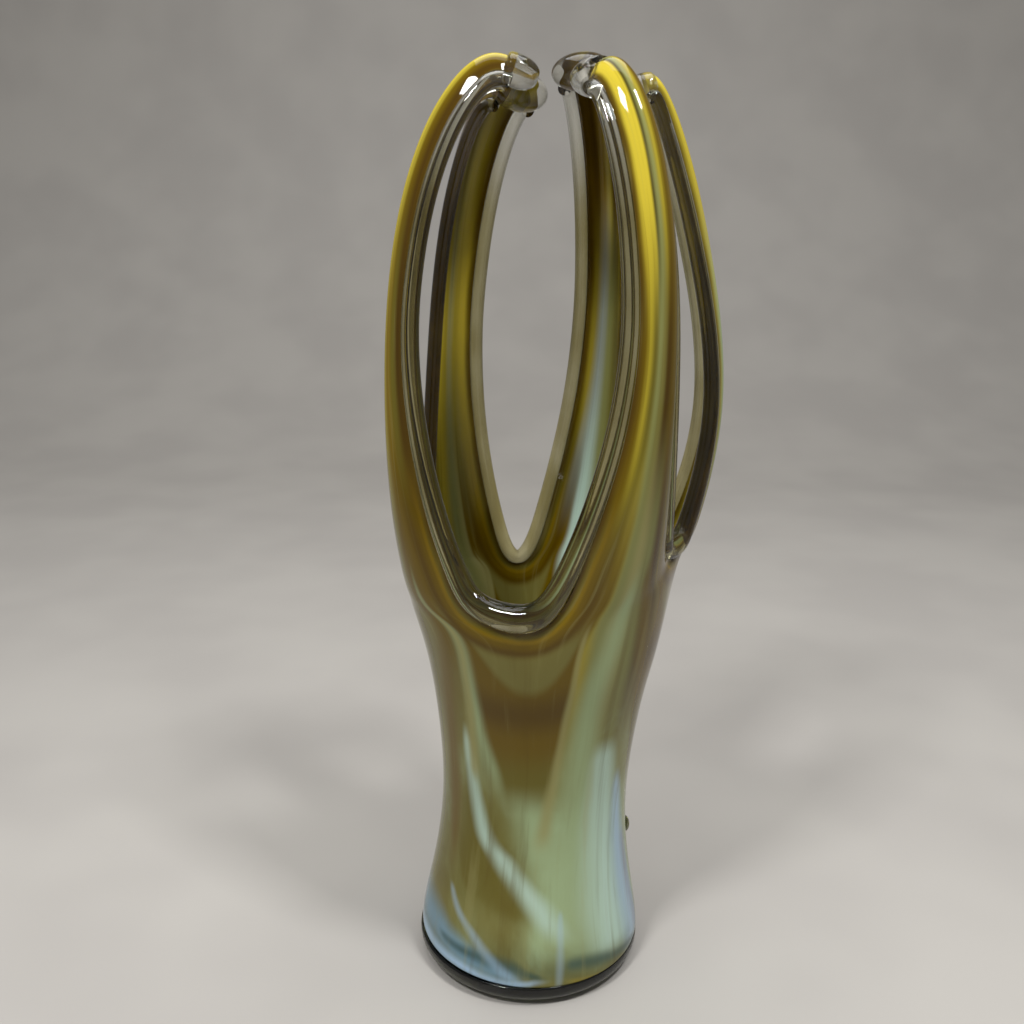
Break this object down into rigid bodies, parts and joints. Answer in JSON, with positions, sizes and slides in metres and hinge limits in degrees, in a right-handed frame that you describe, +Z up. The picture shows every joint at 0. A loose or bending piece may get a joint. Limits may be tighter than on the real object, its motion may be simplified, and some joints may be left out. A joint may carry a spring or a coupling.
{
  "type": "hand blown art glass vase",
  "caption": "Tall hand blown art glass vase with a waisted marbled amber wall, a clear foot, pulled inward-curling fingers and clear glass lips along the valleys.",
  "frame": {"origin": "middle of the foot's flat underside, where the vase stands", "axes": "+Z up the vase, -Y towards the widest valley, +X towards the side that the wall leans to"},
  "size_m": [0.1695, 0.1434, 0.4724],
  "materials": {
    "clear_foot_glass": "gloss",
    "ground_glass": "satin",
    "marbled_glass": "gloss",
    "clear_lip_glass": "gloss"
  },
  "bodies": {
    "root": {"foot_pad": "clear_foot_glass", "pontil_mark": "ground_glass", "body_wall": "marbled_glass", "blister": "clear_lip_glass", "finger_front_left": "marbled_glass", "finger_front_right": "marbled_glass", "finger_right": "marbled_glass", "finger_back_right": "marbled_glass", "finger_back_left": "marbled_glass", "lip_front": "clear_lip_glass", "lip_right": "clear_lip_glass", "lip_rear_right": "clear_lip_glass", "lip_back": "clear_lip_glass", "lip_left": "clear_lip_glass", "tip_front_left": "clear_lip_glass", "tip_front_right": "clear_lip_glass", "tip_right": "clear_lip_glass", "tip_back_right": "clear_lip_glass", "tip_back_left": "clear_lip_glass"}
  },
  "joints": []
}
